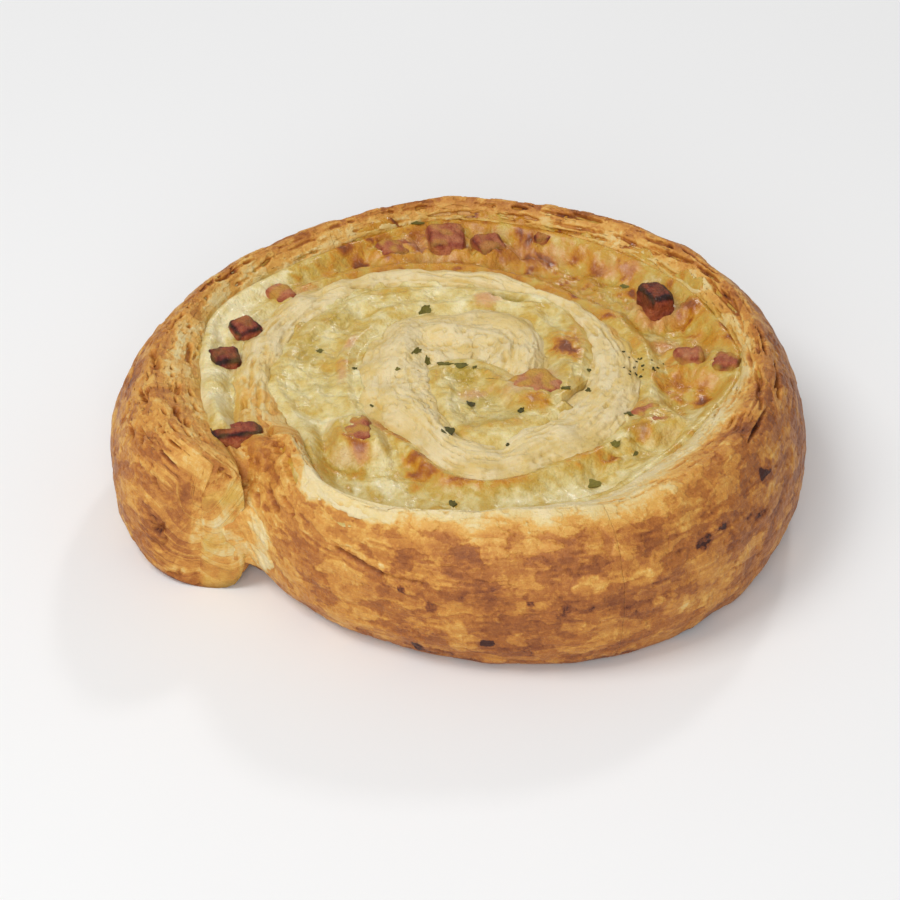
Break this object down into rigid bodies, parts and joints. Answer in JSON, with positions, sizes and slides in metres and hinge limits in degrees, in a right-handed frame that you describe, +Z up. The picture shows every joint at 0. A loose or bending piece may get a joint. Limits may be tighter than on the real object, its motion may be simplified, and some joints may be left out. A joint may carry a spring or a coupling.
{
  "type": "ham and cheese pastry swirl",
  "caption": "Flat round swirl of baked laminated dough with a band of melted cheese filling wound between its turns and browned ham cubes and herb flakes on top.",
  "frame": {"origin": "middle of the bounding box, at the base the swirl rests on", "axes": "+Z up, away from the base; +X to the right and +Y away from the viewer when the loose outer end of the dough is at the front left"},
  "size_m": [0.1192, 0.1107, 0.0288],
  "materials": {
    "baked_dough": "satin",
    "cheese_filling": "satin",
    "ham": "gloss",
    "charred_ham": "gloss"
  },
  "bodies": {
    "root": {"pastry": "baked_dough", "cheese_filling": "cheese_filling", "ham_left_crease": "charred_ham", "ham_left_charred_front": "charred_ham", "ham_left_charred_back": "charred_ham", "ham_left_back": "ham", "ham_back_left": "ham", "ham_back_middle": "ham", "ham_back_right": "ham", "ham_back_far": "ham", "ham_right_charred": "charred_ham", "ham_right_inner": "ham", "ham_right_outer": "ham", "ham_front_right": "ham", "ham_eye": "ham", "ham_front_left": "ham"}
  },
  "joints": []
}
